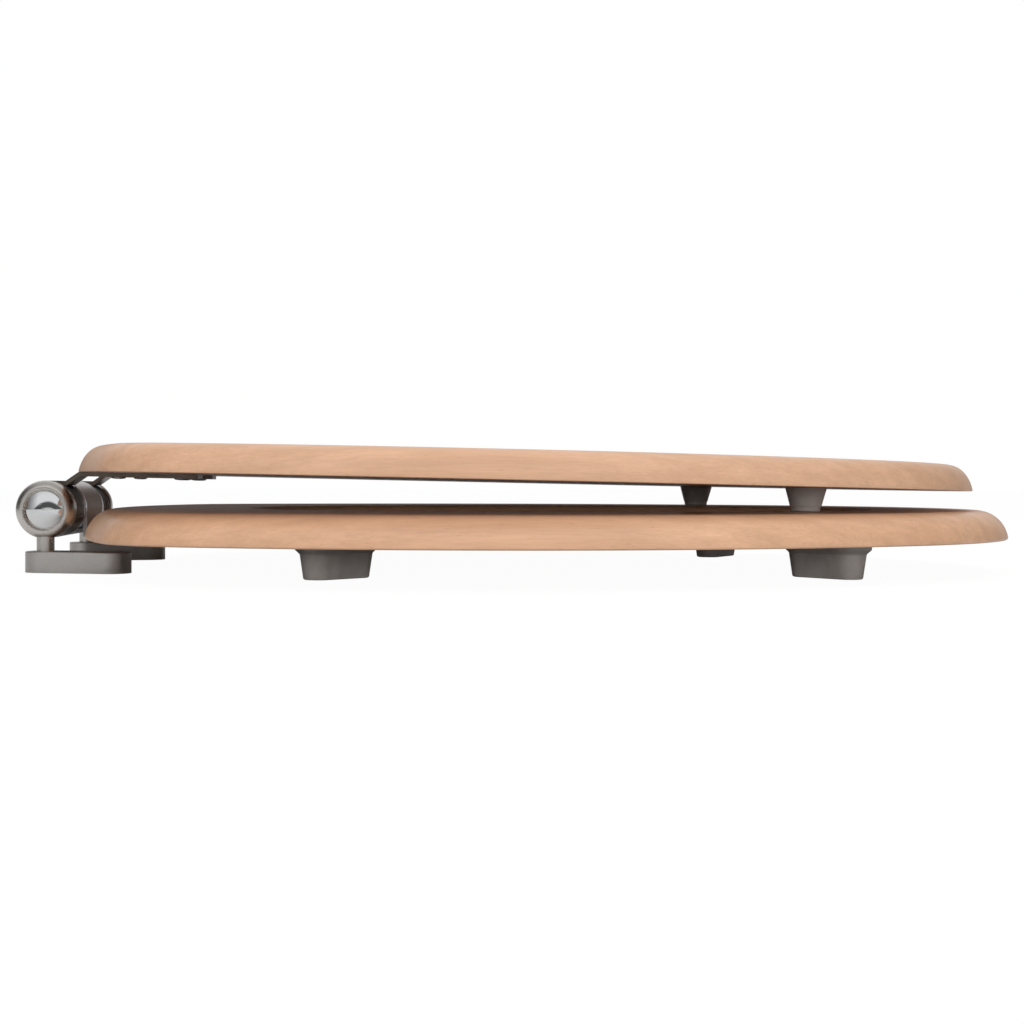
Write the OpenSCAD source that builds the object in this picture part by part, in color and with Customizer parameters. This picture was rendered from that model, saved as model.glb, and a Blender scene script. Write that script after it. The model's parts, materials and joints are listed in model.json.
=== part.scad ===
// Toilet seat with lid: a wooden ring and lid on an adjustable bar hinge.
// +X points to the front of the seat, +Z up. The fixing plane, on which the feet and the base plates
// stand, is Z = 0, and the origin lies on it midway between the two fixing holes.

/* [Ring] */
// Length of the seat ring, back to front
ring_length = 440; // [420:1:460]
// Width of the seat ring
ring_width = 372; // [360:1:384]
// Thickness of the seat ring
ring_thickness = 13.1; // [12.5:0.1:15]
// Length of the opening in the ring
opening_length = 298; // [290:1:302]
// Width of the opening in the ring
opening_width = 194; // [190:1:200]
// Height of the ring's feet
foot_height = 15.5; // [14.5:0.5:16.5]

/* [Lid] */
// Width of the lid
lid_width = 368; // [356:1:380]
// Thickness of the lid
lid_thickness = 11.8; // [11:0.1:14]
// How far the lid's front edge stands back from the ring's
lid_setback = 16.7; // [10:0.1:20]
// Height of the buffers under the lid
buffer_height = 10.5; // [9:0.1:11]

/* [Hinge] */
// Height of the hinge rod above the fixing plane
rod_height = 28.4; // [28:0.1:30]
// Diameter of the hinge rod
rod_d = 8; // [6:0.5:9]
// Diameter of the pillars' knobs
knob_d = 26.4; // [24:0.2:27]
// Length of each knob along the rod
knob_length = 11; // [10:0.5:13]
// Distance between the two posts
post_spacing = 109; // [108:0.5:114]
// Width of each lid strap
strap_width = 21.4; // [18:0.1:21.4]
// Width of the seat bracket
bracket_width = 44; // [40:1:44]
// Thickness of the straps' and the bracket's steel
leaf_thickness = 2; // [1.5:0.1:2.2]

/* [Base plates] */
// Distance between the two fixing holes
fixing_spacing = 125; // [112:1:150]
// Distance from a post to its fixing hole
plate_reach = 32; // [30:1:36]
// Width of a base plate
plate_width = 18; // [18:0.5:22]
// Thickness of a base plate
plate_thickness = 9.5; // [9:0.5:11]

/* [Hidden] */
$fn = 96;
fit = 0.05;          // gap round the part's own pins and screws
running = 0.06;      // gap round the rod and the posts, where pieces turn
side_gap = 0.3;      // gap between pieces that turn side by side on the rod
rest_gap = 0.2;      // gap under the lid buffers when the lid is closed

// Hinge
post_y = post_spacing / 2;
plate_angle = asin((fixing_spacing / 2 - post_y) / plate_reach);
hinge_x = -plate_reach * cos(plate_angle);
rod_r = rod_d / 2;
knob_r = knob_d / 2;
knob_in = post_y - knob_length / 2;
knob_out = post_y + knob_length / 2;
knob_chamfer = 0.8;
knob_shoulder_w = 3.4;
knob_shoulder_l = 4.8;
rod_end = knob_out - 4.6;
post_r = 4;
spigot_r = 3.2;
button_r = 8.7;
button_recess_r = 9.3;
button_floor = knob_out - 2.8;
button_rise = 1.8;
button_pin_r = 2.5;
button_pin_l = 0.9;
grub_r = 2.5;
grub_tip = rod_r + 0.1;
grub_length = 7;

// Knuckles: each leaf rolls round a bush on the rod
knuckle_r = knob_r;
barrel_r = knuckle_r - leaf_thickness;
bush_r = barrel_r - fit;
washer_l = 0.5;
washer_r = knuckle_r - 0.6;
washer_in = knob_in - 0.2 - washer_l;
strap_out = washer_in - side_gap - 0.2;
strap_in = strap_out - strap_width;
strap_y = (strap_out + strap_in) / 2;
bush_proud = 0.2;
bracket_y = bracket_width / 2;
seat_bush_l = 16;
spacer_in = bracket_y + bush_proud + side_gap;
spacer_out = strap_in - bush_proud - side_gap;
spacer_r = knuckle_r;

// Lid straps, seen from the side and measured from the rod
strap_step_start = 7.4;
strap_step_end = 13.3;
strap_length = 68;
strap_rise = 4.3;
lid_under = knuckle_r + strap_rise;
strap_curl_end = 345;
strap_holes = [[30, 0], [60, -5.5], [60, 5.5]];

// Seat bracket, seen from the side and measured from the rod
bracket_length = 58;
bracket_bend_r = 3;
bracket_curl_end = 310;
bracket_under = foot_height - rod_height;
bracket_holes = [for (x = [26, 48], y = [-13, 13]) [x, y]];

// Boards: outlines are ovals of six arcs that run into one another
ring_gap = knuckle_r + 0.25;
ring_rear = hinge_x + ring_gap;
ring_top = foot_height + ring_thickness;
ring_edge_w = 13.4;
ring_edge_lean = 9;
ring_under_edge = 0.8;
opening_rear = hinge_x + 94.5;
opening_edge = 6.5;
lid_gap = 10.3;
lid_length = ring_length + ring_gap - lid_gap - lid_setback;
lid_edge_w = 10.6;
lid_edge_lean = 16;
lid_under_edge = 0.4;
arc_steps = 16;

// Feet, buffers and screws
rear_foot = [132.6, 102.8, 43];     // distance from the rod, distance from the middle, turn
front_foot = [345, 99, 54];
foot_span = 21;
foot_lip_h = 2.9;
foot_flange_h = 4.8;
foot_top_r = 9.9;
foot_waist_r = 7.8;
foot_bottom_r = 6.3;
foot_screw_gap = 14;
foot_sink = 11;
buffer_x = 334.3;
buffer_y = 102.4;
buffer_top_r = 8.8;
buffer_waist_r = 6.6;
buffer_waist_h = 2.3;
buffer_tip_r = 6.2;
buffer_tip_h = 1.9;
buffer_sink = 5;
screw_r = 1.75;
screw_hole_r = screw_r + fit;
screw_head_r = 3.4;
screw_head_h = 2;
leaf_head_h = 0.9;
sink_r = screw_head_r + 0.3;
lid_tilt = asin((rod_height + lid_under - ring_top - buffer_height - rest_gap) / buffer_x);

// Base plates and the screws that hold them
plate_r = plate_width / 2;
plate_edge = 0.5;
plate_counter_r = 7;
plate_counter_h = 4.5;
plate_hole_r = 3.4;
plate_hole_h = 7.5;
pivot_screw_r = 2;
pivot_head_r = 5.8;
pivot_head_h = 2.4;
pivot_bite = 9;
spring_washer_r = 6.4;
spring_washer_h = 1;
spigot_end = plate_counter_h - 0.1;

// ---- Placing ----

// Turns a piece made about Z at the rod's middle onto the rod, its +Z towards the seat's right (-Y)
module on_rod(distance = 0) {
    translate([hinge_x, -distance, rod_height]) rotate([90, 0, 0]) children();
}

// Puts a piece drawn as a side view (X forward, Y up from the rod) across the hinge, width w about y
module across(y, w) {
    translate([0, y + w / 2, 0]) rotate([90, 0, 0]) linear_extrude(w) children();
}

// The closed lid's own place: X forward and Z up from the rod, sloping down to the front
module in_lid() {
    translate([hinge_x, 0, rod_height]) rotate([0, lid_tilt, 0]) children();
}

// The left piece is the right piece mirrored
module left() {
    mirror([0, 1, 0]) children();
}

// ---- Outlines ----

// Centre of the circle that touches, from inside, two circles: ra and rb are what their radii leave
function touching(a, ra, b, rb) =
    let (d = norm(b - a), u = (b - a) / d, s = (ra * ra - rb * rb + d * d) / (2 * d))
    a + s * u - sqrt(ra * ra - s * s) * [-u.y, u.x];

// Arcs of an oval, each as [centre, radius, first angle, last angle], anticlockwise from the front
function oval(rear, length, width, front_r, turn, corner_r, rear_r) =
    let (
        front = [rear + length - front_r, 0],
        side_r = (width / 2 - front_r * sin(turn)) / (1 - sin(turn)),
        side = front - (side_r - front_r) * [cos(turn), sin(turn)],
        back = [rear + rear_r, 0],
        corner = touching(back, rear_r - corner_r, side, side_r - corner_r),
        side_end = atan2(corner.y - side.y, corner.x - side.x),
        corner_end = atan2(corner.y - back.y, corner.x - back.x)
    )
    [
        [front, front_r, -turn, turn],
        [side, side_r, turn, side_end],
        [corner, corner_r, side_end, corner_end],
        [back, rear_r, corner_end, 360 - corner_end],
        [[corner.x, -corner.y], corner_r, 360 - corner_end, 360 - side_end],
        [[side.x, -side.y], side_r, 360 - side_end, 360 - turn]
    ];

ring_arcs = oval(ring_rear, ring_length, ring_width, 161, 58.8, 60, 356);
opening_arcs = oval(opening_rear, opening_length, opening_width, 70, 55, 60, 100);
lid_arcs = oval(lid_gap, lid_length, lid_width, 159, 58.8, 60, 356);

// Points along an oval, a little way inside it: equally many on each arc
function inside(arcs, inset) = [
    for (arc = arcs, k = [0 : arc_steps - 1])
    let (a = arc[2] + (arc[3] - arc[2]) * k / arc_steps)
    arc[0] + (arc[1] - inset) * [cos(a), sin(a)]
];

// Points of a quarter ellipse about a centre, from one angle to another
function quarter(centre, a, b, first, last, steps = 8) = [
    for (k = [0 : steps])
    let (t = first + (last - first) * k / steps)
    centre + [a * cos(t), b * sin(t)]
];

// One level loop of points for each [inset, height] of a board's edge profile
function loops(arcs, profile) = [
    for (p = profile) [for (q = inside(arcs, p.x)) [q.x, q.y, p.y]]
];

// A board's outer edge, from its underside to its top: a small bevel, then a roundover that starts
// leaning inwards
function outer_edge(thickness, edge_w, lean, under) =
    let (rise = (thickness - under) / (1 - sin(lean)))
    concat(
        [[under, 0]],
        quarter([edge_w, thickness - rise], edge_w / cos(lean), rise, 180 - lean, 90, 10)
    );

// The opening's edge, from the ring's top down to its underside, as insets of the opening's own oval
function inner_edge() = concat(
    quarter([-opening_edge, ring_thickness - opening_edge], opening_edge, opening_edge, 90, 0, 6),
    quarter([-ring_under_edge, ring_under_edge], ring_under_edge, ring_under_edge, 0, -90, 3)
);

// A solid over loops of equally many points, each joined to the next, and its two ends capped,
// or joined to each other where it runs right round
module skin(loops, joined = false) {
    count = len(loops[0]);
    rows = len(loops);
    sides = [
        for (row = [0 : rows - (joined ? 1 : 2)], i = [0 : count - 1])
        let (
            next = (i + 1) % count,
            low = row * count,
            high = ((row + 1) % rows) * count
        )
        each [[low + i, high + next, low + next], [low + i, high + i, high + next]]
    ];
    caps = [
        [for (i = [0 : count - 1]) i],
        [for (i = [count - 1 : -1 : 0]) (rows - 1) * count + i]
    ];
    polyhedron(points = [for (loop = loops) each loop], faces = joined ? sides : concat(sides, caps));
}

// ---- Screws ----

// A wood screw that points up, its shank starting at Z = 0 and its head below
module wood_screw(length, head_h = screw_head_h) {
    difference() {
        union() {
            cylinder(r = screw_r, h = length - 3);
            translate([0, 0, length - 3]) cylinder(r1 = screw_r, r2 = 0.5, h = 3);
            rotate_extrude() polygon(concat(
                [[0, 0], [0, -head_h]],
                quarter([0, -0.4 * head_h], screw_head_r, 0.6 * head_h, 270, 360, 5),
                [[screw_head_r, 0]]
            ));
        }
        for (turn = [0, 90])
            rotate([0, 0, turn])
            translate([-2, -0.4, -head_h - 0.1])
            cube([4, 0.8, 0.1 + 0.55 * head_h]);
    }
}

// A foot's place under the ring's right side, its long axis turned towards the opening
module at_foot(place) {
    slant = place.x < opening_rear - hinge_x + opening_length / 2 ? 1 : -1;
    translate([hinge_x + place.x, -place.y, 0]) rotate([0, 0, slant * place.z]) children();
}

module at_feet() {
    for (place = [rear_foot, front_foot]) {
        at_foot(place) children();
        left() at_foot(place) children();
    }
}

module at_foot_screws() {
    for (step = [-1, 1]) translate([step * foot_screw_gap / 2, 0, 0]) children();
}

module at_buffers() {
    for (side = [-1, 1]) translate([buffer_x, side * buffer_y, lid_under]) children();
}

module at_strap_screws() {
    for (side = [-1, 1], hole = strap_holes)
        translate([hole.x, side * strap_y + hole.y, lid_under]) children();
}

module at_bracket_screws() {
    for (hole = bracket_holes) translate([hinge_x + hole.x, hole.y, foot_height]) children();
}

// ---- Wood ----

module lid_board() {
    color("burlywood")
        in_lid()
        translate([0, 0, lid_under])
        skin(loops(lid_arcs, outer_edge(lid_thickness, lid_edge_w, lid_edge_lean, lid_under_edge)));
}

module seat_ring() {
    color("burlywood")
        translate([0, 0, foot_height])
        skin(
            concat(
                loops(
                    ring_arcs,
                    outer_edge(ring_thickness, ring_edge_w, ring_edge_lean, ring_under_edge)
                ),
                loops(opening_arcs, inner_edge())
            ),
            joined = true
        );
}

// ---- Steel leaves ----

// A rolled knuckle seen from the side, from its tangent point round to its free end
module curl(first, last) {
    difference() {
        circle(r = knuckle_r);
        circle(r = barrel_r);
        polygon(concat([[0, 0]], [
            for (k = [0 : 4])
            let (a = last + (first + 360 - last) * k / 4)
            2 * knuckle_r * [cos(a), sin(a)]
        ]));
    }
}

module lid_strap() {
    top = lid_under;
    color("darkgray")
    in_lid()
    difference() {
        across(-strap_y, strap_width) {
            curl(90, strap_curl_end);
            polygon([
                [-0.5, barrel_r], [strap_step_start + 0.6, barrel_r],
                [strap_step_end + 0.6, top - leaf_thickness], [strap_length, top - leaf_thickness],
                [strap_length, top], [strap_step_end, top],
                [strap_step_start, knuckle_r], [-0.5, knuckle_r]
            ]);
        }
        for (hole = strap_holes)
            translate([hole.x, hole.y - strap_y, top - leaf_thickness - 1])
            cylinder(r = screw_r + 0.3, h = leaf_thickness + 2, $fn = 24);
    }
}

module seat_bracket() {
    low = bracket_under - leaf_thickness;
    bend = [barrel_r + bracket_bend_r, low + bracket_bend_r];
    color("gray")
    difference() {
        translate([hinge_x, 0, rod_height])
        across(0, bracket_width) {
            curl(0, bracket_curl_end);
            translate([barrel_r, bend.y]) square([leaf_thickness, 0.5 - bend.y]);
            translate([bend.x, low]) square([bracket_length - bend.x, leaf_thickness]);
            intersection() {
                difference() {
                    translate(bend) circle(r = bracket_bend_r);
                    translate(bend) circle(r = bracket_bend_r - leaf_thickness);
                }
                translate(bend - [bracket_bend_r, bracket_bend_r]) square(bracket_bend_r);
            }
        }
        at_bracket_screws()
            translate([0, 0, -leaf_thickness - 1])
            cylinder(r = screw_r + 0.3, h = leaf_thickness + 2, $fn = 24);
    }
}

// ---- Hinge ----

module hinge_rod() {
    color("silver") on_rod(-rod_end) cylinder(r = rod_r, h = 2 * rod_end);
}

module knob() {
    on_rod(0)
    rotate_extrude()
    polygon(concat(
        [[0, knob_in], [knob_r - knob_chamfer, knob_in], [knob_r, knob_in + knob_chamfer]],
        quarter([knob_r - knob_shoulder_w, knob_out - knob_shoulder_l], knob_shoulder_w,
            knob_shoulder_l, 0, 90, 10),
        [[0, knob_out]]
    ));
}

module pillar() {
    color("silver")
    difference() {
        union() {
            knob();
            translate([hinge_x, -post_y, plate_thickness])
                cylinder(r = post_r, h = rod_height - plate_thickness - rod_r);
            translate([hinge_x, -post_y, spigot_end]) cylinder(r = spigot_r, h = plate_thickness);
        }
        on_rod(0) cylinder(r = rod_r + fit, h = rod_end + 0.1);
        on_rod(button_floor) cylinder(r = button_recess_r, h = knob_length);
        on_rod(button_floor - button_pin_l - 0.1) cylinder(r = button_pin_r + fit, h = 3);
        translate([hinge_x, -post_y, 0]) cylinder(r = pivot_screw_r + fit, h = spigot_end + pivot_bite);
        translate([hinge_x - knob_r - 1, -post_y + 2, rod_height])
            rotate([0, 90, 0])
            cylinder(r = grub_r + fit, h = knob_r + 1);
    }
}

// The button's face is a shallow dome
module end_button() {
    dome_r = (button_r * button_r + button_rise * button_rise) / (2 * button_rise);
    rim = knob_out + 0.4 - button_rise;
    half = asin(button_r / dome_r);
    color("white")
    on_rod(0) {
        rotate_extrude() polygon(concat(
            [[0, button_floor + fit], [button_r, button_floor + fit]],
            [
                for (k = [0 : 8])
                let (t = half * (1 - k / 8))
                [dome_r * sin(t), rim + button_rise - dome_r * (1 - cos(t))]
            ]
        ));
        translate([0, 0, button_floor - button_pin_l]) cylinder(r = button_pin_r, h = button_pin_l + 0.5);
    }
}

module ring_on_rod(near, far, outer_r, inner_r) {
    on_rod(near)
    difference() {
        cylinder(r = outer_r, h = far - near);
        translate([0, 0, -1]) cylinder(r = inner_r, h = far - near + 2);
    }
}

module spacer_ring() {
    color("lightgray") ring_on_rod(spacer_in, spacer_out, spacer_r, rod_r + fit);
}

module thin_washer() {
    color("lightgray") ring_on_rod(washer_in, washer_in + washer_l, washer_r, rod_r + fit);
}

// The lid bush lies in the lid's own frame, which differs only by a turn about the rod
module lid_bush() {
    color("whitesmoke")
        ring_on_rod(strap_in - bush_proud, strap_out + bush_proud, bush_r, rod_r + running);
}

module seat_bush() {
    color("whitesmoke")
        ring_on_rod(bracket_y - seat_bush_l, bracket_y + bush_proud, bush_r, rod_r + running);
}

module grub_screws() {
    color("dimgray")
    for (side = [-1, 1])
        translate([hinge_x - grub_tip - grub_length, side * (post_y - 2), rod_height])
        rotate([0, 90, 0])
        difference() {
            cylinder(r = grub_r, h = grub_length);
            translate([0, 0, -1]) cylinder(r = 1.3, h = 3, $fn = 6);
        }
}

// ---- Base plates ----

// Cross-section of half a base plate, its upper edge rounded
module half_plate() {
    polygon(concat(
        [[0, 0], [plate_r, 0]],
        quarter([plate_r - plate_edge, plate_thickness - plate_edge], plate_edge, plate_edge, 0, 90, 4),
        [[0, plate_thickness]]
    ));
}

module base_plate() {
    color("silver")
    translate([hinge_x, -post_y, 0])
    rotate([0, 0, -plate_angle])
    difference() {
        union() {
            for (x = [0, plate_reach]) translate([x, 0, 0]) rotate_extrude() half_plate();
            rotate([90, 0, 90]) linear_extrude(plate_reach) {
                half_plate();
                mirror([1, 0]) half_plate();
            }
        }
        translate([0, 0, -1]) cylinder(r = spigot_r + running, h = plate_thickness + 2);
        translate([0, 0, -1]) cylinder(r = plate_counter_r, h = plate_counter_h + 1);
        translate([plate_reach, 0, -1]) cylinder(r = plate_hole_r, h = plate_hole_h + 1);
    }
}

module pivot_screw() {
    head_top = spigot_end - spring_washer_h;
    color("dimgray")
    translate([hinge_x, -post_y, 0])
    difference() {
        union() {
            translate([0, 0, head_top - pivot_head_h]) cylinder(r = pivot_head_r, h = pivot_head_h);
            translate([0, 0, head_top - 0.5])
                cylinder(r = pivot_screw_r, h = spring_washer_h + pivot_bite);
        }
        translate([0, 0, head_top - pivot_head_h - 1]) cylinder(r = 2, h = 2.4, $fn = 6);
    }
}

module spring_washer() {
    color("gray")
    translate([hinge_x, -post_y, spigot_end - spring_washer_h])
    difference() {
        cylinder(r = spring_washer_r, h = spring_washer_h);
        translate([0, 0, -1]) cylinder(r = pivot_screw_r + fit, h = spring_washer_h + 2);
    }
}

// ---- Feet and buffers ----

// Cross-section of half a foot: a flared flange on top of a tapered body
module half_foot() {
    polygon([
        [0, 0], [foot_bottom_r - 0.5, 0], [foot_bottom_r, 0.5],
        [foot_waist_r, foot_height - foot_flange_h], [foot_top_r, foot_height - foot_lip_h],
        [foot_top_r, foot_height], [0, foot_height]
    ]);
}

module foot(place) {
    color("dimgray")
    at_foot(place)
    difference() {
        union() {
            for (end = [-1, 1]) translate([end * foot_span / 2, 0, 0]) rotate_extrude() half_foot();
            translate([-foot_span / 2, 0, 0]) rotate([90, 0, 90]) linear_extrude(foot_span) {
                half_foot();
                mirror([1, 0]) half_foot();
            }
        }
        at_foot_screws() {
            translate([0, 0, -1]) cylinder(r = sink_r, h = foot_sink + 1, $fn = 32);
            cylinder(r = screw_hole_r, h = foot_height + 1, $fn = 24);
        }
    }
}

module foot_screws() {
    color("silver") at_feet() at_foot_screws() translate([0, 0, foot_sink]) wood_screw(13);
}

module lid_buffer() {
    round_r = 0.8;
    color("dimgray")
    in_lid()
    translate([buffer_x, -buffer_y, lid_under - buffer_height])
    difference() {
        rotate_extrude() polygon(concat(
            [[0, 0]],
            quarter([buffer_tip_r - round_r, round_r], round_r, round_r, 270, 360, 4),
            [
                [buffer_tip_r, buffer_tip_h], [buffer_waist_r, buffer_waist_h],
                [buffer_top_r, buffer_height], [0, buffer_height]
            ]
        ));
        translate([0, 0, -1]) cylinder(r = sink_r, h = buffer_sink + 1, $fn = 32);
        cylinder(r = screw_hole_r, h = buffer_height + 1, $fn = 24);
    }
}

module buffer_screws() {
    color("silver")
        in_lid()
        at_buffers()
        translate([0, 0, buffer_sink - buffer_height])
        wood_screw(13);
}

module strap_screws() {
    color("silver")
        in_lid()
        at_strap_screws()
        translate([0, 0, -leaf_thickness])
        wood_screw(10.5, leaf_head_h);
}

module bracket_screws() {
    color("silver")
        at_bracket_screws()
        translate([0, 0, -leaf_thickness])
        wood_screw(10.5, leaf_head_h);
}

lid_board();
seat_ring();
lid_strap();  // lid_strap_right
left() lid_strap();  // lid_strap_left
seat_bracket();
hinge_rod();
pillar();  // pillar_right
left() pillar();  // pillar_left
end_button();  // end_button_right
left() end_button();  // end_button_left
base_plate();  // base_plate_right
left() base_plate();  // base_plate_left
spacer_ring();  // spacer_ring_right
left() spacer_ring();  // spacer_ring_left
thin_washer();  // thin_washer_right
left() thin_washer();  // thin_washer_left
lid_bush();  // lid_bush_right
left() lid_bush();  // lid_bush_left
seat_bush();  // seat_bush_right
left() seat_bush();  // seat_bush_left
grub_screws();
pivot_screw();  // pivot_screw_right
left() pivot_screw();  // pivot_screw_left
spring_washer();  // spring_washer_right
left() spring_washer();  // spring_washer_left
foot(rear_foot);  // foot_rear_right
left() foot(rear_foot);  // foot_rear_left
foot(front_foot);  // foot_front_right
left() foot(front_foot);  // foot_front_left
foot_screws();
lid_buffer();  // lid_buffer_right
left() lid_buffer();  // lid_buffer_left
buffer_screws();
strap_screws();
bracket_screws();
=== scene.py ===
"""Looks of the wooden toilet seat: smooth wooden boards, materials, floor, light and camera."""

import json
import math

import bmesh
import bpy
import numpy as np
from mathutils import Matrix, Vector


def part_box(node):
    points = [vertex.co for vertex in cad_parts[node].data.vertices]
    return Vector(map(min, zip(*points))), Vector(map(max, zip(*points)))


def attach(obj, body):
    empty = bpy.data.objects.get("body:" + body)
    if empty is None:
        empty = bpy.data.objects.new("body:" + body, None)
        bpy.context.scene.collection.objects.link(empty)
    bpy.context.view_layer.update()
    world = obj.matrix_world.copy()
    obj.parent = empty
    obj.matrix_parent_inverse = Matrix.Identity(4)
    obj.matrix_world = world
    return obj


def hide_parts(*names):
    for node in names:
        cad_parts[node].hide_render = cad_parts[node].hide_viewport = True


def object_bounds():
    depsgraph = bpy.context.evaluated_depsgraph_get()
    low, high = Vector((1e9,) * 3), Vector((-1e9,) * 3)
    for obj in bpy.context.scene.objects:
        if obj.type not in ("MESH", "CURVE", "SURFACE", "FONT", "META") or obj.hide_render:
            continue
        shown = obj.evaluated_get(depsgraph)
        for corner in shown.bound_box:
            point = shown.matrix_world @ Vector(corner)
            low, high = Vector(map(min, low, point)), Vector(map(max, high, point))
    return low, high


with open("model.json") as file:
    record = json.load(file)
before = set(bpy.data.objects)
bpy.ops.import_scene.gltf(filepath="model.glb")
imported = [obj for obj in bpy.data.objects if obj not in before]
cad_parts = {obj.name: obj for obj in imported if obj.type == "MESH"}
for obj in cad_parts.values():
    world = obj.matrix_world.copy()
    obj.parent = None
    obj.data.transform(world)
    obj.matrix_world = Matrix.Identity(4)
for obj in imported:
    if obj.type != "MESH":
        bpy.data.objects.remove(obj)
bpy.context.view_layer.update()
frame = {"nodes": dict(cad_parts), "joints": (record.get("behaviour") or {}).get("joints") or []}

MM = 0.001
nodes = frame["nodes"]
hinge = Vector(next(j["pos_m"] for j in frame["joints"] if j["name"] == "lid_hinge"))


# ---- Node helpers ----

class Nodes:
    """Adds and links the nodes of one node tree."""

    def __init__(self, tree):
        self.tree = tree

    def add(self, kind, **settings):
        node = self.tree.nodes.new(kind)
        for key, value in settings.items():
            setattr(node, key, value)
        return node

    def link(self, output, target):
        self.tree.links.new(output, target)

    def math(self, operation, *values):
        """A math node over values that are each a number or a node's output."""
        node = self.add("ShaderNodeMath", operation=operation)
        for socket, value in zip(node.inputs, values):
            if isinstance(value, (int, float)):
                socket.default_value = value
            else:
                self.link(value, socket)
        return node.outputs["Value"]

    def blend(self, factor, a, b):
        """Mixes two shaders."""
        node = self.add("ShaderNodeMixShader")
        for socket, output in zip(node.inputs, (factor, a, b)):
            self.link(output, socket)
        return node.outputs["Shader"]

    def spread(self, value, low, high, new_low=0.0, new_high=1.0):
        """Maps low..high onto new_low..new_high, and holds it there."""
        ranged = self.add("ShaderNodeMapRange", clamp=True)
        limits = {"From Min": low, "From Max": high, "To Min": new_low, "To Max": new_high}
        for name, number in limits.items():
            ranged.inputs[name].default_value = number
        self.link(value, ranged.inputs["Value"])
        return ranged.outputs["Result"]


class Shader(Nodes):
    """Builds one node material with a Principled BSDF."""

    def __init__(self, name):
        self.material = bpy.data.materials.new(name)
        self.material.use_nodes = True
        super().__init__(self.material.node_tree)
        self.bsdf = next(n for n in self.tree.nodes if n.type == "BSDF_PRINCIPLED")

    def place(self, scale):
        """Object coordinates, stretched by a scale per axis."""
        coordinates = self.add("ShaderNodeTexCoord")
        mapping = self.add("ShaderNodeMapping")
        mapping.inputs["Scale"].default_value = scale
        self.link(coordinates.outputs["Object"], mapping.inputs["Vector"])
        return mapping.outputs["Vector"]

    def noise(self, scale, detail=2.0, roughness=0.5, distortion=0.0):
        """A noise pattern between 0 and 1 whose cells are 1/scale metres long on each axis."""
        noise = self.add("ShaderNodeTexNoise")
        noise.inputs["Scale"].default_value = 1.0
        noise.inputs["Detail"].default_value = detail
        noise.inputs["Roughness"].default_value = roughness
        noise.inputs["Distortion"].default_value = distortion
        self.link(self.place(scale), noise.inputs["Vector"])
        return noise.outputs["Fac"]

    def mix(self, factor, a, b):
        """Mixes two colours, each a colour or a node's output."""
        node = self.add("ShaderNodeMix", data_type="RGBA")
        for socket, value in ((node.inputs[0], factor), (node.inputs[6], a), (node.inputs[7], b)):
            if isinstance(value, (int, float)):
                socket.default_value = value
            elif isinstance(value, tuple):
                socket.default_value = (*value, 1.0)
            else:
                self.link(value, socket)
        return node.outputs[2]

    def bump(self, height, distance, strength):
        node = self.add("ShaderNodeBump")
        node.inputs["Strength"].default_value = strength
        node.inputs["Distance"].default_value = distance
        self.link(height, node.inputs["Height"])
        return node.outputs["Normal"]

    def finish(self, colour, roughness=None, normal=None, **fixed):
        for name, value in (("Base Color", colour), ("Roughness", roughness), ("Normal", normal)):
            if value is not None:
                self.link(value, self.bsdf.inputs[name])
        for name, value in fixed.items():
            self.bsdf.inputs[name.replace("_", " ")].default_value = value
        return self.material


# ---- Materials ----

def darker(colour, share):
    return tuple(share * c for c in colour)


def wood(name, light, dark, shift):
    """Pale beech under a satin lacquer, its grain running front to back. The shift varies the pattern."""
    m = Shader(name)
    broad = m.spread(m.noise((2.6 + shift, 26, 45), 2.0, 0.55), 0.35, 0.65)
    streaks = m.spread(m.noise((6 + shift, 190, 230), 3.0, 0.6), 0.34, 0.68)
    fine = m.spread(m.noise((55, 1400, 1500), 2.0, 0.6), 0.36, 0.66)
    flecks = m.spread(m.noise((260, 2300, 2300), 1.0, 0.4), 0.66, 0.78)
    colour = m.mix(m.math("MULTIPLY", broad, 0.55), light, dark)
    colour = m.mix(m.math("MULTIPLY", streaks, 0.5), colour, darker(dark, 0.8))
    colour = m.mix(m.math("MULTIPLY", fine, 0.22), colour, darker(dark, 0.7))
    colour = m.mix(m.math("MULTIPLY", flecks, 0.3), colour, darker(dark, 0.45))
    grain = m.bump(m.math("ADD", m.math("MULTIPLY", fine, 0.6), flecks), 0.04 * MM, 0.5)
    return m.finish(
        colour=colour,
        roughness=m.spread(m.math("ADD", broad, fine), 0.0, 2.0, 0.36, 0.48),
        normal=grain,
        Specular_IOR_Level=0.5,
        Coat_Weight=0.35,
        Coat_Roughness=0.22,
    )


def metal(name, light, dark, rough, grain_scale=(900, 900, 900), grain_depth=0.004 * MM, metallic=1.0):
    """Plated or drawn steel: a fine grain, and slow changes of tone and polish."""
    m = Shader(name)
    cloud = m.spread(m.noise((60, 70, 65), 3.0, 0.6, 0.4), 0.35, 0.65)
    grain = m.spread(m.noise(grain_scale, 2.0, 0.6), 0.3, 0.7)
    colour = m.mix(m.math("MULTIPLY", cloud, 0.4), light, dark)
    colour = m.mix(m.math("MULTIPLY", grain, 0.18), colour, darker(dark, 0.8))
    return m.finish(
        colour=colour,
        roughness=m.spread(m.math("ADD", cloud, grain), 0.0, 2.0, *rough),
        normal=m.bump(grain, grain_depth, 0.6),
        Metallic=metallic,
    )


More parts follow.
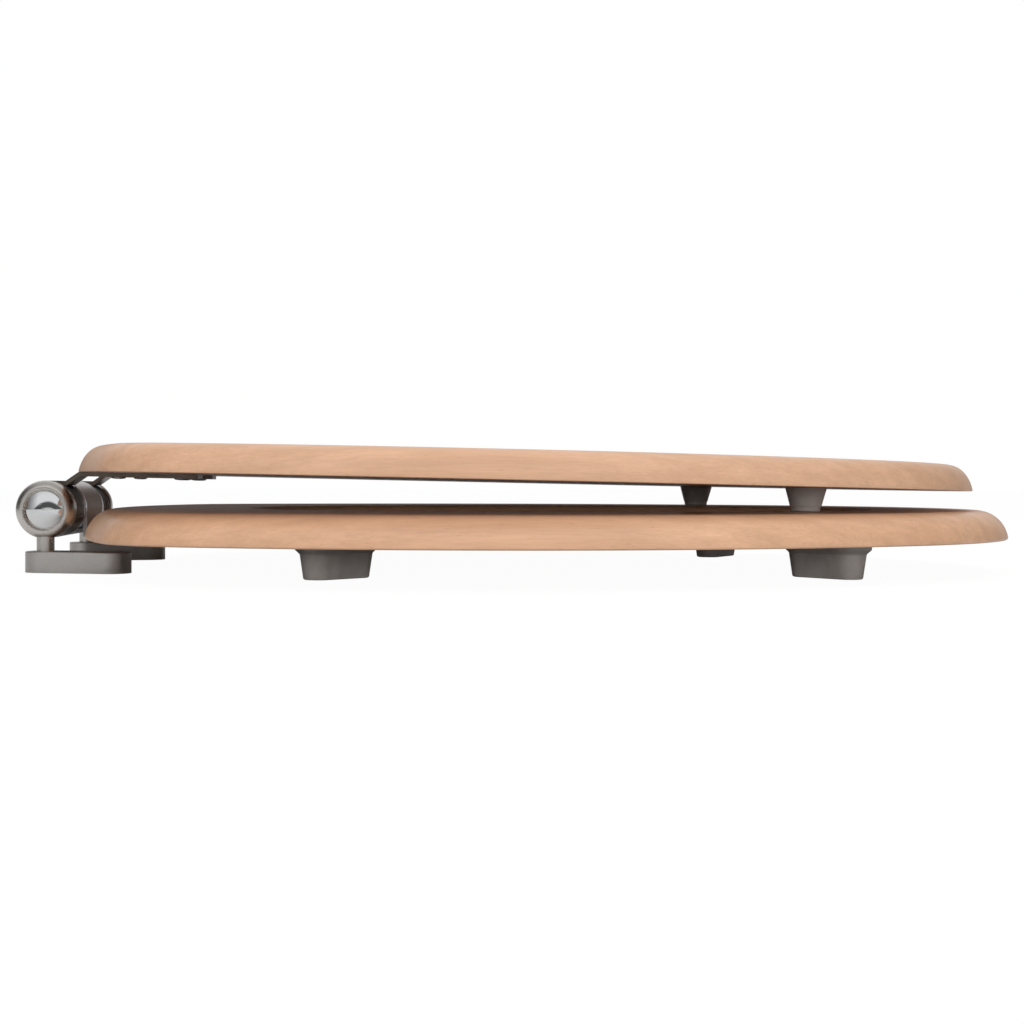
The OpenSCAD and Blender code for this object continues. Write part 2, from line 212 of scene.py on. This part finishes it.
def moulded(name, light, dark, rough):
    """Moulded rubber or nylon with a fine matte skin."""
    m = Shader(name)
    cloud = m.spread(m.noise((90, 90, 60), 3.0, 0.6, 0.3), 0.35, 0.65)
    skin = m.spread(m.noise((1800, 1800, 1800), 2.0, 0.6), 0.3, 0.7)
    return m.finish(
        colour=m.mix(cloud, light, dark),
        roughness=m.spread(m.math("ADD", cloud, skin), 0.0, 2.0, *rough),
        normal=m.bump(skin, 0.02 * MM, 0.5),
        Specular_IOR_Level=0.5,
    )


LOOKS = {
    # The lid and ring are the same beech. The ring's copy is made lighter as painted light, to make up for
    # the light it gets less of under the lid.
    "lid_wood": wood("lid_wood_look", (0.72, 0.44, 0.28), (0.61, 0.345, 0.205), 0.0),
    "ring_wood": wood("ring_wood_look", (0.77, 0.465, 0.29), (0.65, 0.365, 0.215), 0.7),
    "satin_nickel": metal("satin_nickel_look", (0.78, 0.74, 0.70), (0.60, 0.565, 0.53), (0.24, 0.34)),
    "plate_nickel": metal("plate_nickel_look", (0.74, 0.71, 0.68), (0.60, 0.57, 0.54), (0.34, 0.46)),
    "polished_chrome": metal(
        "polished_chrome_look", (0.88, 0.89, 0.90), (0.82, 0.83, 0.84), (0.03, 0.07),
        grain_depth=0.0005 * MM,
    ),
    "leaf_steel": metal(
        "leaf_steel_look", (0.20, 0.165, 0.14), (0.13, 0.105, 0.085), (0.26, 0.4),
        grain_scale=(120, 2400, 1500),
    ),
    "bracket_steel": metal(
        "bracket_steel_look", (0.78, 0.77, 0.77), (0.68, 0.67, 0.67), (0.45, 0.58),
        metallic=0.55,
    ),
    "rod_steel": metal(
        "rod_steel_look", (0.66, 0.65, 0.63), (0.55, 0.54, 0.52), (0.16, 0.26),
        grain_scale=(1500, 90, 1500),
    ),
    "screw_steel": metal("screw_steel_look", (0.60, 0.60, 0.59), (0.48, 0.48, 0.47), (0.26, 0.38)),
    "bush_nylon": moulded("bush_nylon_look", (0.26, 0.26, 0.27), (0.20, 0.20, 0.21), (0.5, 0.62)),
    "grey_rubber": moulded("grey_rubber_look", (0.44, 0.41, 0.385), (0.35, 0.32, 0.30), (0.4, 0.52)),
}


# ---- Outlines: ovals of six arcs that run into one another, anticlockwise from the front ----

ARC_STEPS = 48


def touching(a, ra, b, rb):
    """Centre of the circle that touches two circles from inside; ra and rb are what their radii leave."""
    gap = b - a
    d = np.linalg.norm(gap)
    u = gap / d
    s = (ra * ra - rb * rb + d * d) / (2 * d)
    return a + s * u - math.sqrt(ra * ra - s * s) * np.array([-u[1], u[0]])


def oval(rear, length, width, front_r, turn, corner_r, rear_r):
    """The six arcs of an oval that starts at x = rear, each as (centre, radius, first angle, last angle)."""
    turn = math.radians(turn)
    front = np.array([rear + length - front_r, 0.0])
    side_r = (width / 2 - front_r * math.sin(turn)) / (1 - math.sin(turn))
    side = front - (side_r - front_r) * np.array([math.cos(turn), math.sin(turn)])
    back = np.array([rear + rear_r, 0.0])
    corner = touching(back, rear_r - corner_r, side, side_r - corner_r)
    side_end = math.atan2(*(corner - side)[::-1])
    corner_end = math.atan2(*(corner - back)[::-1])
    flip = np.array([1.0, -1.0])
    full = 2 * math.pi
    return [
        (front, front_r, -turn, turn),
        (side, side_r, turn, side_end),
        (corner, corner_r, side_end, corner_end),
        (back, rear_r, corner_end, full - corner_end),
        (corner * flip, corner_r, full - corner_end, full - side_end),
        (side * flip, side_r, full - side_end, full - turn),
    ]


def inside(arcs, inset):
    """Points along an oval, a little way inside it, starting at the middle of its front."""
    points = []
    for centre, radius, first, last in arcs:
        a = first + (last - first) * np.arange(ARC_STEPS) / ARC_STEPS
        points.append(centre + (radius - inset) * np.stack([np.cos(a), np.sin(a)], axis=1))
    return np.roll(np.concatenate(points), -(ARC_STEPS // 2), axis=0)


def quarter(centre, a, b, first, last, steps):
    """Points of a quarter ellipse, from one angle to another, in degrees."""
    return [
        (centre[0] + a * math.cos(math.radians(t)), centre[1] + b * math.sin(math.radians(t)))
        for t in np.linspace(first, last, steps + 1)
    ]


def outer_edge(thickness, edge_w, lean, under):
    """A board's outer edge as (inset, height): a small bevel, then a roundover that leans inwards."""
    tilt = math.radians(lean)
    rise = (thickness - under) / (1 - math.sin(tilt))
    bevel = [(under, 0.0), (0.6 * under, 0.05 * under), (0.15 * under, 0.5 * under)]
    return bevel + quarter((edge_w, thickness - rise), edge_w / math.cos(tilt), rise, 180 - lean, 90, 24)


def inner_edge(thickness, edge, under):
    """The opening's edge, from the ring's top down to its underside, as insets of the opening's own oval."""
    roundover = quarter((-edge, thickness - edge), edge, edge, 90, 0, 14)
    return roundover + quarter((-under, under), under, under, 0, -90, 5)


# ---- Wooden boards ----

SMOOTH_BELOW = math.radians(40)     # flatter edges than this are shaded smooth

# Both boards: the front arc's half angle, the corners and the rear arc; the lid's front arc is tighter
BOARD_TURN = 58.8
BOARD_CORNER_R = 60 * MM
BOARD_REAR_R = 356 * MM
RING_FRONT_R = 161 * MM
LID_FRONT_R = 159 * MM

# Outer edges: the roundover's width, its lean in degrees, and the bevel below it
RING_EDGE = (13.4 * MM, 9, 0.8 * MM)
LID_EDGE = (10.6 * MM, 16, 0.4 * MM)

# The ring's opening: how far it starts from the ring's back, its size, its arcs and its edge
OPENING_SETBACK = 81.05 * MM
OPENING_LENGTH = 298 * MM
OPENING_WIDTH = 194 * MM
OPENING_ARCS = (70 * MM, 55, 60 * MM, 100 * MM)
OPENING_EDGE = (6.5 * MM, 0.8 * MM)


def board_mesh(name, loops, ring):
    """A closed board over level loops of points: a ring joins its last loop to its first, a lid is capped."""
    count = len(loops[0])
    rows = len(loops)
    bm = bmesh.new()
    verts = [[bm.verts.new(p) for p in loop] for loop in loops]
    for row in range(rows if ring else rows - 1):
        low, high = verts[row], verts[(row + 1) % rows]
        for i in range(count):
            j = (i + 1) % count
            bm.faces.new((low[i], low[j], high[j], high[i]))
    if not ring:
        for cap, down in ((verts[0], True), (verts[-1], False)):
            for i in range(count // 2):
                across = [cap[i], cap[i + 1], cap[(count - i - 1) % count], cap[(count - i) % count]]
                across = list(dict.fromkeys(across))
                bm.faces.new(across[::-1] if down else across)
    bmesh.ops.recalc_face_normals(bm, faces=bm.faces)
    for face in bm.faces:
        face.smooth = True
    for edge in bm.edges:
        edge.smooth = edge.calc_face_angle(0.0) < SMOOTH_BELOW
    mesh = bpy.data.meshes.new(name)
    bm.to_mesh(mesh)
    bm.free()
    return mesh


def add_board(name, mesh, slot, node, body):
    obj = bpy.data.objects.new(name, mesh)
    bpy.context.scene.collection.objects.link(obj)
    obj.data.materials.append(LOOKS[slot])
    obj.modifiers.new("flat_faces_flat", "WEIGHTED_NORMAL").keep_sharp = True
    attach(obj, body)
    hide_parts(node)


def raised(arcs, profile, z):
    """One level loop of points for each (inset, height) of an edge profile."""
    loops = []
    for inset, height in profile:
        flat = inside(arcs, inset)
        loops.append(np.column_stack([flat, np.full(len(flat), z + height)]))
    return loops


def make_ring():
    low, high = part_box("seat_ring")
    length, width, thickness = high - low
    arcs = oval(low.x, length, width, RING_FRONT_R, BOARD_TURN, BOARD_CORNER_R, BOARD_REAR_R)
    opening = oval(low.x + OPENING_SETBACK, OPENING_LENGTH, OPENING_WIDTH, *OPENING_ARCS)
    loops = raised(arcs, outer_edge(thickness, *RING_EDGE), low.z)
    loops += raised(opening, inner_edge(thickness, *OPENING_EDGE), low.z)
    mesh = board_mesh("seat_ring_smooth", loops, True)
    add_board("seat_ring_smooth", mesh, "ring_wood", "seat_ring", "ring")


def make_lid():
    """The closed lid slopes down to the front about the rod, so it is built level and turned."""
    mesh = nodes["lid_board"].data
    under = max((p for p in mesh.polygons if p.normal.z < -0.9), key=lambda p: p.area)   # faces down
    tilt = math.atan2(-under.normal.x, -under.normal.z)
    turn = Matrix.Translation(hinge) @ Matrix.Rotation(tilt, 4, "Y") @ Matrix.Translation(-hinge)
    back = turn.inverted()
    level = np.array([back @ v.co for v in mesh.vertices])
    low, high = level.min(0), level.max(0)
    length, width, thickness = high - low
    arcs = oval(low[0], length, width, LID_FRONT_R, BOARD_TURN, BOARD_CORNER_R, BOARD_REAR_R)
    loops = raised(arcs, outer_edge(thickness, *LID_EDGE), low[2])
    made = board_mesh("lid_board_smooth", loops, False)
    made.transform(turn)
    add_board("lid_board_smooth", made, "lid_wood", "lid_board", "lid")


make_ring()
make_lid()


# ---- The CAD pieces: finishes and softened edges ----

BEVEL_ABOVE = math.radians(38)      # sharper edges than this are softened
WELD_DISTANCE = 0.002 * MM

# For names that start so: the look, and the width of the softened edges in millimetres
FINISH = {
    "lid_strap": ("leaf_steel", 0.25),
    "seat_bracket": ("bracket_steel", 0.25),
    "hinge_rod": ("rod_steel", 0.3),
    "pillar": ("satin_nickel", 0.25),
    "end_button": ("polished_chrome", 0.15),
    "base_plate": ("plate_nickel", 0.3),
    "spacer_ring": ("polished_chrome", 0.5),
    "thin_washer": ("polished_chrome", 0.1),
    "lid_bush": ("bush_nylon", 0.1),
    "seat_bush": ("bush_nylon", 0.1),
    "grub_screws": ("screw_steel", 0.1),
    "pivot_screw": ("screw_steel", 0.2),
    "spring_washer": ("screw_steel", 0.1),
    "foot_rear": ("grey_rubber", 0.3),
    "foot_front": ("grey_rubber", 0.3),
    "foot_screws": ("screw_steel", 0.1),
    "lid_buffer": ("grey_rubber", 0.3),
    "buffer_screws": ("screw_steel", 0.1),
    "strap_screws": ("screw_steel", 0.1),
    "bracket_screws": ("screw_steel", 0.1),
}

for name, obj in nodes.items():
    if name in ("lid_board", "seat_ring"):
        continue
    kind = next(k for k in FINISH if name.startswith(k))
    look, edge_mm = FINISH[kind]
    obj.data.materials.clear()
    obj.data.materials.append(LOOKS[look])
    weld = obj.modifiers.new("weld", "WELD")
    weld.merge_threshold = WELD_DISTANCE
    bevel = obj.modifiers.new("soft_edges", "BEVEL")
    bevel.width = edge_mm * MM
    bevel.segments = 2
    bevel.limit_method = "ANGLE"
    bevel.angle_limit = BEVEL_ABOVE
    bevel.use_clamp_overlap = True
    obj.modifiers.new("flat_faces_flat", "WEIGHTED_NORMAL").keep_sharp = True
    for polygon in obj.data.polygons:
        polygon.use_smooth = True


# ---- Floor, light and camera ----

scene = bpy.context.scene
scene.view_settings.view_transform = "Standard"
low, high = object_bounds()
centre = (low + high) / 2

FLOOR_HALF = 12.0
FLOOR_DROP = 0.3 * MM               # keeps the floor clear of the base plates' undersides
FLOOR_GLOW = 1.04
FLOOR_GLOW_SHARE = 0.93             # how much of the floor's own light the camera sees


def make_floor():
    """A plain floor that looks evenly pale to the camera, and throws less light back up at the object."""
    corners = ((-1, -1), (1, -1), (1, 1), (-1, 1))
    level = low.z - FLOOR_DROP
    mesh = bpy.data.meshes.new("floor")
    mesh.from_pydata([(x * FLOOR_HALF, y * FLOOR_HALF, level) for x, y in corners], [], [(0, 1, 2, 3)])
    floor = bpy.data.objects.new("floor", mesh)
    scene.collection.objects.link(floor)

    look = Shader("floor_look")
    rays = look.add("ShaderNodeLightPath").outputs
    pale = look.mix(look.noise((3, 3, 3), 2.0), (0.62, 0.62, 0.62), (0.58, 0.58, 0.58))
    look.finish(
        colour=look.mix(rays["Is Diffuse Ray"], pale, (0.42, 0.42, 0.42)),
        Roughness=0.9,
        Specular_IOR_Level=0.1,
    )
    glow = look.add("ShaderNodeEmission")
    glow.inputs["Strength"].default_value = FLOOR_GLOW
    share = look.math("MULTIPLY", rays["Is Camera Ray"], FLOOR_GLOW_SHARE)
    surface = next(n for n in look.tree.nodes if n.type == "OUTPUT_MATERIAL").inputs["Surface"]
    look.link(look.blend(share, look.bsdf.outputs[0], glow.outputs[0]), surface)
    mesh.materials.append(look.material)


def area_light(name, place, size, power):
    """A soft lamp aimed at the object's middle. Polished metal does not mirror it."""
    data = bpy.data.lights.new(name, "AREA")
    data.shape = "RECTANGLE"
    data.size, data.size_y = size
    data.energy = power
    lamp = bpy.data.objects.new(name, data)
    scene.collection.objects.link(lamp)
    lamp.location = Vector(place)
    lamp.visible_glossy = False
    lamp.rotation_mode = "QUATERNION"
    lamp.rotation_quaternion = (centre - lamp.location).to_track_quat("-Z", "Y")


# Brightness of the mirrored studio, from the horizon (0) up to straight overhead (1)
MIRRORED_WALLS = [
    (0.0, 0.55), (0.06, 0.55),      # pale along the floor
    (0.09, 0.08), (0.28, 0.08),     # a dark band
    (0.36, 0.75), (0.6, 0.75),      # bright walls above it
    (1.0, 0.45),
]
SOFT_LIGHT = 0.5


def make_world():
    """White to the camera, an even grey as light, and a room of its own in the metal's mirror images."""
    world = bpy.data.worlds.new("studio")
    scene.world = world
    world.use_nodes = True
    world.node_tree.nodes.clear()
    studio = Nodes(world.node_tree)

    def background(strength):
        node = studio.add("ShaderNodeBackground")
        node.inputs["Color"].default_value = (1, 1, 1, 1)
        if isinstance(strength, float):
            node.inputs["Strength"].default_value = strength
        else:
            studio.link(strength, node.inputs["Strength"])
        return node.outputs[0]

    direction = studio.add("ShaderNodeSeparateXYZ")
    studio.link(studio.add("ShaderNodeTexCoord").outputs["Generated"], direction.inputs[0])
    x, z = direction.outputs["X"], direction.outputs["Z"]

    # The bands of the walls, bent into arches by the square of x, and the dark to both sides
    walls = studio.add("ShaderNodeValToRGB")
    studio.link(studio.math("MULTIPLY_ADD", x, x, z), walls.inputs[0])
    bands = walls.color_ramp.elements
    while len(bands) < len(MIRRORED_WALLS):
        bands.new(1.0)
    for band, (position, brightness) in zip(bands, MIRRORED_WALLS):
        band.position = position
        band.color = (brightness, brightness, brightness, 1)
    ends = studio.spread(studio.math("ABSOLUTE", x), 0.40, 0.80, 1.0, 0.15)
    room = studio.math("MULTIPLY", walls.outputs["Color"], ends)

    rays = studio.add("ShaderNodeLightPath").outputs
    lit = studio.blend(rays["Is Glossy Ray"], background(SOFT_LIGHT), background(room))
    seen = studio.blend(rays["Is Camera Ray"], lit, background(1.0))
    studio.link(seen, studio.add("ShaderNodeOutputWorld").inputs["Surface"])


CAMERA_FROM_ROD = (0.13739, -0.74392)   # forward and to the side of the rod's middle, metres
CAMERA_HEIGHT = 0.04007                 # above the fixing plane
CAMERA_YAW = math.radians(2.0)          # towards the seat's front
CAMERA_ROLL = 0.002
SENSOR_WIDTH = 36.0
LENS = 52.8805
LENS_SHIFT = (0.10891, -0.026783)


def make_camera():
    data = bpy.data.cameras.new("camera")
    data.sensor_width = SENSOR_WIDTH
    data.lens = LENS
    data.shift_x, data.shift_y = LENS_SHIFT
    data.clip_start = 0.01
    camera = bpy.data.objects.new("camera", data)
    scene.collection.objects.link(camera)
    forward = Vector((math.sin(CAMERA_YAW), math.cos(CAMERA_YAW), 0.0))
    level_right = Vector((forward.y, -forward.x, 0.0))
    right = level_right * math.cos(CAMERA_ROLL) + Vector((0, 0, 1)) * math.sin(CAMERA_ROLL)
    up = right.cross(forward)
    place = (hinge.x + CAMERA_FROM_ROD[0], CAMERA_FROM_ROD[1], low.z + CAMERA_HEIGHT)
    turn = Matrix((right, up, -forward)).transposed().to_4x4()
    camera.matrix_world = Matrix.Translation(place) @ turn
    scene.camera = camera


make_floor()
area_light("front_light", (0.15, -1.7, 0.17), (2.6, 0.26), 11.5)
area_light("high_light", (0.15, -0.95, 1.15), (2.0, 0.9), 9.0)
area_light("top_light", (0.25, 0.35, 1.4), (1.6, 1.2), 8.0)
make_world()
make_camera()
